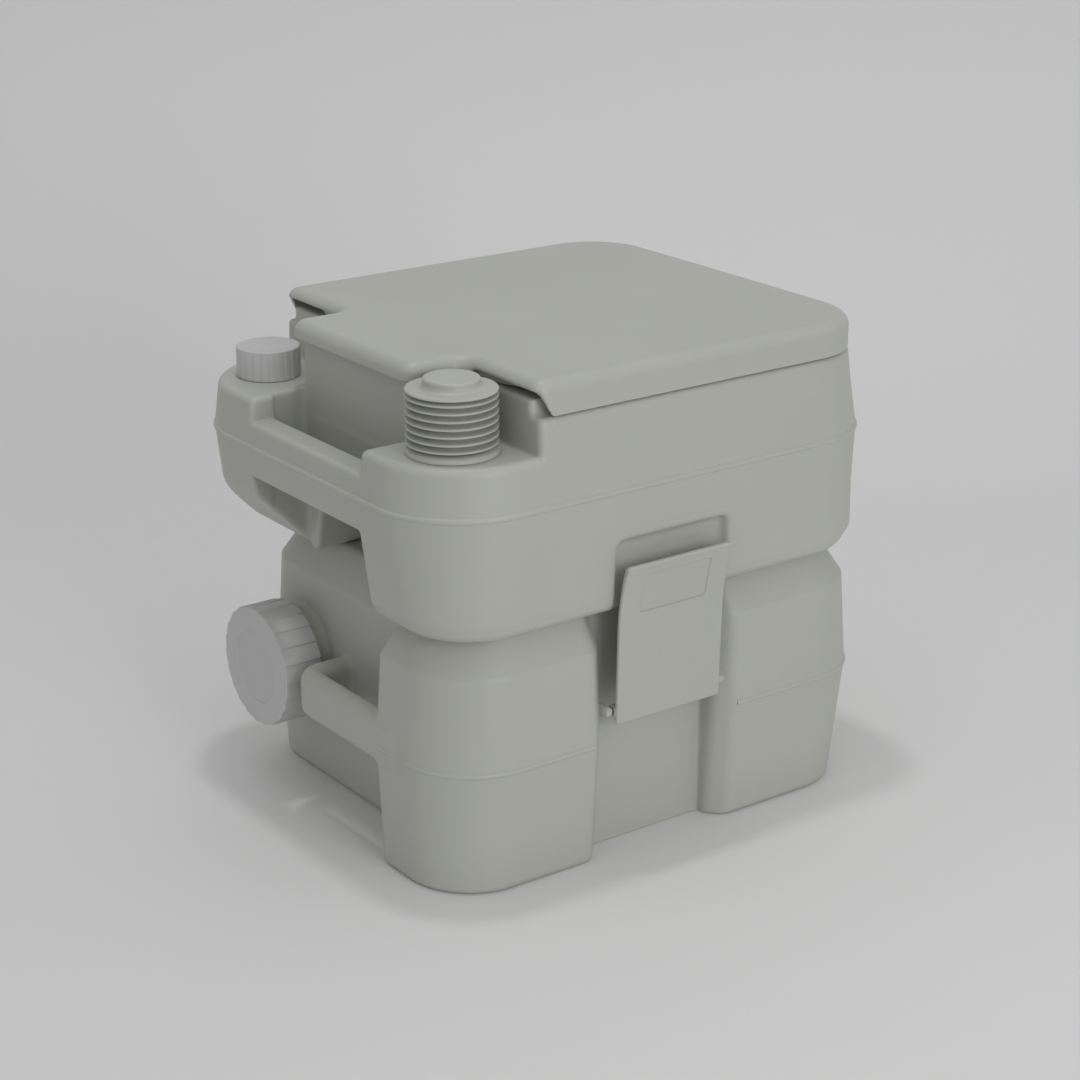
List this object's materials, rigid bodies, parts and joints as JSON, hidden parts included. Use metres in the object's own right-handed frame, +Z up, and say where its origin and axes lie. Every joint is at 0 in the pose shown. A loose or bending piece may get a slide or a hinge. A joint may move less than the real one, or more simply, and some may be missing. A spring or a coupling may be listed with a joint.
{
  "type": "portable camp toilet",
  "caption": "Portable camp toilet: fresh-water tank with bowl, hinged seat and lid, bellows pump and handle, latched onto a waste tank with slide valve and capped drain spout.",
  "frame": {"origin": "middle of the footprint, on the floor", "axes": "+Z up; the user sits facing -Y; handles, pump, filler cap and drain spout are at +Y; pump at -X, filler cap and spout at +X; latches at -X and +X"},
  "size_m": [0.3636, 0.4174, 0.3718],
  "materials": {
    "body_plastic": "satin moulded",
    "cap_plastic": "satin moulded",
    "dark_plastic": "satin moulded",
    "pipe_plastic": "smooth",
    "bellows_plastic": "flexible, satin",
    "black_rubber": "matt",
    "steel": "drawn"
  },
  "bodies": {
    "tanks": {"waste_tank": "body_plastic", "fresh_tank": "body_plastic", "bowl": "body_plastic", "bowl_outlet_ring": "black_rubber", "hinge_pin_left": "steel", "hinge_pin_right": "steel", "latch_pin_left": "steel", "latch_pin_right": "steel", "pump_collar": "body_plastic", "pump_bellows": "bellows_plastic", "pump_intake_tube": "pipe_plastic", "pump_foot_valve": "pipe_plastic", "flush_pipe": "pipe_plastic", "flush_nozzle": "body_plastic", "valve_housing": "dark_plastic", "valve_seal_upper": "black_rubber", "valve_seal_lower": "black_rubber", "valve_screw_1": "steel", "valve_screw_2": "steel", "valve_screw_3": "steel", "valve_screw_4": "steel"},
    "seat_ring": {"seat": "body_plastic", "seat_bumper_left_front": "black_rubber", "seat_bumper_left_back": "black_rubber", "seat_bumper_right_front": "black_rubber", "seat_bumper_right_back": "black_rubber"},
    "cover": {"lid": "body_plastic", "lid_bumper_left": "black_rubber", "lid_bumper_right": "black_rubber"},
    "pump_button": {"pump_top": "body_plastic"},
    "filler_seal": {"filler_gasket": "black_rubber"},
    "filler_cover": {"filler_cap": "cap_plastic"},
    "drain_seal": {"drain_gasket": "black_rubber"},
    "drain_cover": {"drain_cap": "cap_plastic"},
    "valve_gate": {"valve_blade": "steel", "valve_pull": "dark_plastic"},
    "left_latch": {"latch_left": "body_plastic"},
    "right_latch": {"latch_right": "body_plastic"}
  },
  "joints": [
    {"name": "seat_hinge", "type": "hinge", "parent": "tanks", "child": "seat_ring", "pos_m": [0, 0.1575, 0.362], "axis": [-1, 0, 0], "range_deg": [0, 93]},
    {"name": "lid_hinge", "type": "hinge", "parent": "seat_ring", "child": "cover", "pos_m": [0, 0.1575, 0.362], "axis": [1, 0, 0], "range_deg": [-98, 0]},
    {"name": "pump_press", "type": "slide", "parent": "tanks", "child": "pump_button", "axis": [0, 0, -1], "range_m": [0, 0.024], "stiffness_N_per_m": 400, "springref_m": -0.002, "deforming": ["pump_bellows"]},
    {"name": "filler_rise", "type": "slide", "parent": "tanks", "child": "filler_seal", "axis": [0, 0, 1], "range_m": [0, 0.01]},
    {"name": "filler_unscrew", "type": "hinge", "parent": "filler_seal", "child": "filler_cover", "pos_m": [0.1186, 0.16, 0.33], "axis": [0, 0, 1], "range_deg": [0, 720]},
    {"name": "drain_back_off", "type": "slide", "parent": "tanks", "child": "drain_seal", "axis": [0, 1, 0], "range_m": [0, 0.01]},
    {"name": "drain_unscrew", "type": "hinge", "parent": "drain_seal", "child": "drain_cover", "pos_m": [0.097, 0.18, 0.098], "axis": [0, 1, 0], "range_deg": [0, 720]},
    {"name": "valve_slide", "type": "slide", "parent": "tanks", "child": "valve_gate", "axis": [0, -1, 0], "range_m": [0, 0.088]},
    {"name": "latch_left_open", "type": "hinge", "parent": "tanks", "child": "left_latch", "pos_m": [-0.1627, 0.0035, 0.1165], "axis": [0, -1, 0], "range_deg": [0, 80]},
    {"name": "latch_right_open", "type": "hinge", "parent": "tanks", "child": "right_latch", "pos_m": [0.1627, 0.0035, 0.1165], "axis": [0, 1, 0], "range_deg": [0, 80]}
  ],
  "couplings": [
    {"joint": "filler_rise", "follows": "filler_unscrew", "m_per_rad": 0.00079},
    {"joint": "drain_back_off", "follows": "drain_unscrew", "m_per_rad": 0.00079}
  ]
}
